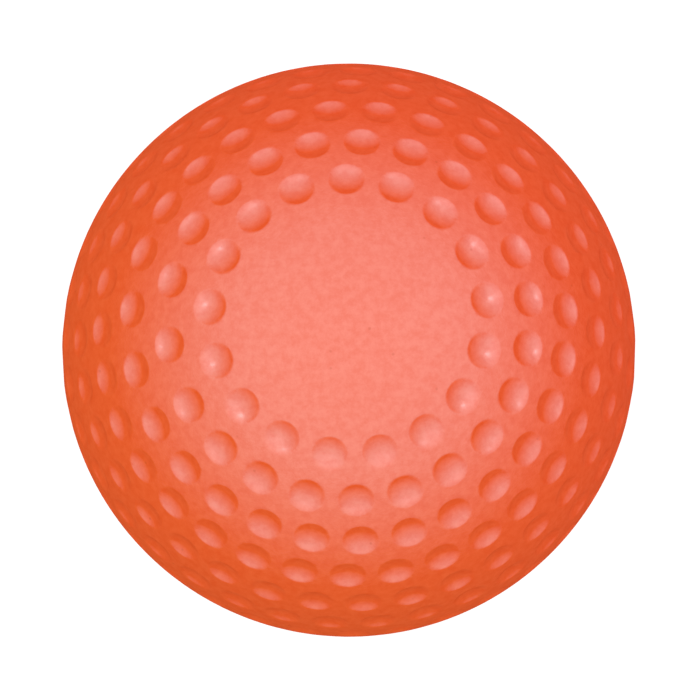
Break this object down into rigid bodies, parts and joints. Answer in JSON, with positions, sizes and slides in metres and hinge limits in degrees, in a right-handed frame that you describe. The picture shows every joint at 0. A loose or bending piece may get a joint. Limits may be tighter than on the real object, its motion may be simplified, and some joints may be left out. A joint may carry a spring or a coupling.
{
  "type": "field hockey ball",
  "caption": "Solid moulded field hockey ball with rings of round dimples running from a bare patch at one pole to a bare patch at the other.",
  "frame": {"origin": "centre of the ball", "axes": "+Z along the moulding axis, out through the middle of a bare patch; +X to the right and +Y up as the bare patch is seen in the picture"},
  "size_m": [0.0732, 0.0732, 0.0732],
  "materials": {
    "moulded_plastic": "satin orange-red moulded plastic with a fine grain"
  },
  "bodies": {
    "root": {"ball": "moulded_plastic"}
  },
  "joints": []
}
